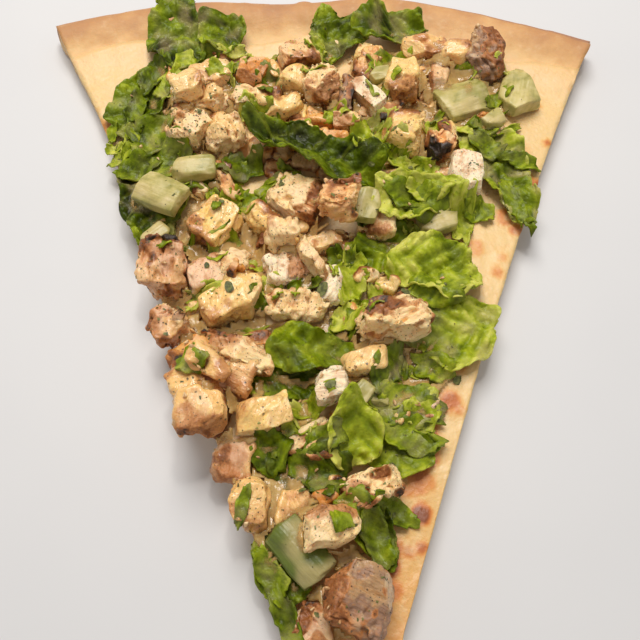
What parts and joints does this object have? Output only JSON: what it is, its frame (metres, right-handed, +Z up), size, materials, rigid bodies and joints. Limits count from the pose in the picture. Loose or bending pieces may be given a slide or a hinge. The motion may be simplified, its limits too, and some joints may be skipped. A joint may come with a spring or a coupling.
{
  "type": "pizza slice",
  "caption": "Large wedge of thin-crust pizza with a raised rim and melted cheese, topped with diced grilled chicken, torn romaine leaves and pale leaf ribs.",
  "frame": {"origin": "On the flat underside, on the slice's centre line, 127 mm from the point, which is halfway along the slice.", "axes": "+Z up out of the topped face; +Y from the point towards the raised rim; +X to the right, seen from above with the rim at the far side."},
  "size_m": [0.1942, 0.2522, 0.0279],
  "materials": {
    "baked_dough": "baked wheat dough, matte, browned on the rim; matte_plastic stands in for food",
    "melted_cheese": "melted pale yellow cheese with browned blisters; gloss_plastic stands in for food",
    "grilled_chicken": "grilled chicken breast, pale and fibrous with browned faces; matte_plastic stands in for food",
    "romaine_leaf": "wet green romaine leaf; gloss_plastic stands in for food",
    "romaine_rib": "pale translucent romaine rib; gloss_plastic stands in for food"
  },
  "bodies": {
    "root": {"dough": "baked_dough", "cheese": "melted_cheese", "romaine_leaf_01": "romaine_leaf", "romaine_leaf_02": "romaine_leaf", "romaine_leaf_03": "romaine_leaf", "romaine_leaf_04": "romaine_leaf", "romaine_leaf_05": "romaine_leaf", "romaine_leaf_06": "romaine_leaf", "romaine_leaf_07": "romaine_leaf", "romaine_leaf_08": "romaine_leaf", "romaine_leaf_09": "romaine_leaf", "romaine_leaf_10": "romaine_leaf", "romaine_leaf_11": "romaine_leaf", "romaine_leaf_12": "romaine_leaf", "romaine_leaf_13": "romaine_leaf", "romaine_leaf_14": "romaine_leaf", "romaine_leaf_15": "romaine_leaf", "romaine_leaf_16": "romaine_leaf", "romaine_leaf_17": "romaine_leaf", "romaine_leaf_18": "romaine_leaf", "romaine_leaf_19": "romaine_leaf", "romaine_rib_01": "romaine_rib", "romaine_rib_02": "romaine_rib", "romaine_rib_03": "romaine_rib", "romaine_rib_04": "romaine_rib", "romaine_rib_05": "romaine_rib", "chicken_01": "grilled_chicken", "chicken_02": "grilled_chicken", "chicken_03": "grilled_chicken", "chicken_04": "grilled_chicken", "chicken_05": "grilled_chicken", "chicken_06": "grilled_chicken", "chicken_07": "grilled_chicken", "chicken_08": "grilled_chicken", "chicken_09": "grilled_chicken", "chicken_10": "grilled_chicken", "chicken_11": "grilled_chicken", "chicken_12": "grilled_chicken", "chicken_13": "grilled_chicken", "chicken_14": "grilled_chicken", "chicken_15": "grilled_chicken", "chicken_16": "grilled_chicken", "chicken_17": "grilled_chicken", "chicken_18": "grilled_chicken", "chicken_19": "grilled_chicken", "chicken_20": "grilled_chicken", "chicken_21": "grilled_chicken", "chicken_22": "grilled_chicken", "chicken_23": "grilled_chicken", "chicken_24": "grilled_chicken", "chicken_25": "grilled_chicken", "chicken_26": "grilled_chicken", "chicken_27": "grilled_chicken", "chicken_28": "grilled_chicken", "chicken_29": "grilled_chicken", "chicken_30": "grilled_chicken", "chicken_31": "grilled_chicken", "chicken_32": "grilled_chicken", "chicken_33": "grilled_chicken", "chicken_34": "grilled_chicken"}
  },
  "joints": []
}
